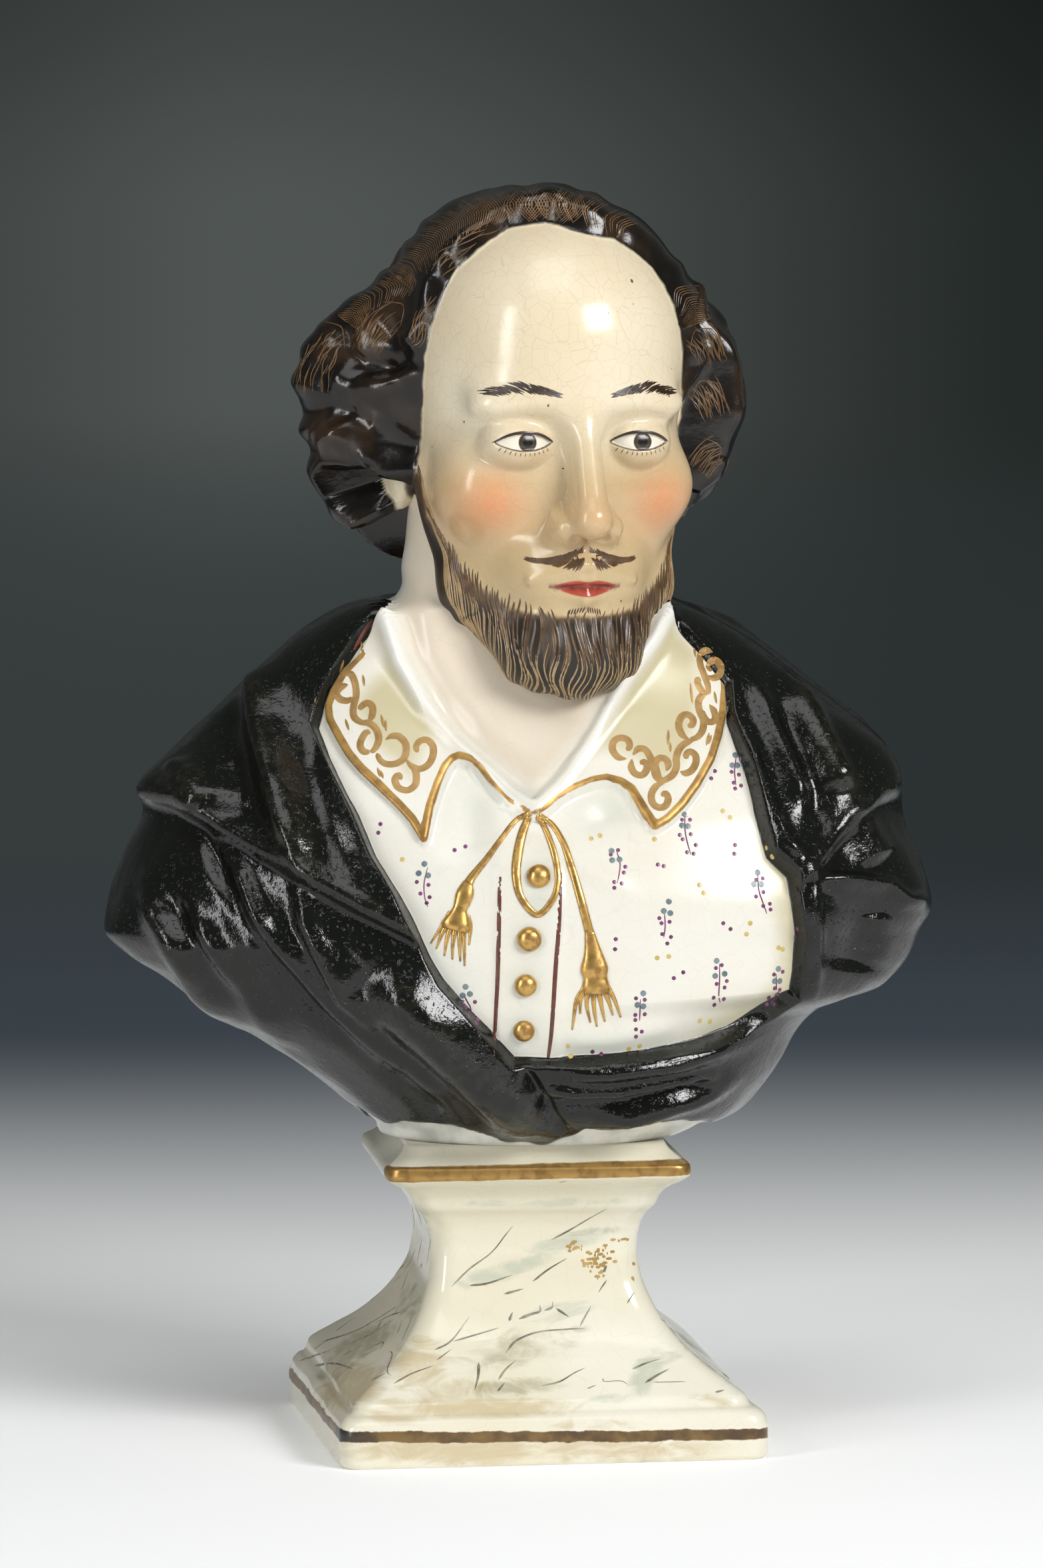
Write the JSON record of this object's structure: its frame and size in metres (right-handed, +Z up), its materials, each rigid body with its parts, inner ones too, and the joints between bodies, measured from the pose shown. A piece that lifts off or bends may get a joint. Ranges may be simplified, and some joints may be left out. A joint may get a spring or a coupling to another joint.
{
  "type": "portrait bust on socle",
  "caption": "Glazed earthenware bust of a bearded man in an open-collared shirt and cloak, painted and gilt, on a waisted square marbled socle.",
  "frame": {"origin": "centre of the socle's flat underside", "axes": "+Z up, the socle's front face towards -Y, +X to the viewer's right; the bust is turned 9 degrees from the socle towards the viewer's left"},
  "size_m": [0.2262, 0.1269, 0.3449],
  "materials": {
    "glazed_bust": "glossy cream glaze over painted enamels: black cloak, brown hair and beard, gilt lines and buttons",
    "marbled_glaze": "glossy cream glaze with grey-green and tan marbling and worn gilt lines"
  },
  "bodies": {
    "root": {"bust": "glazed_bust", "socle": "marbled_glaze"}
  },
  "joints": []
}
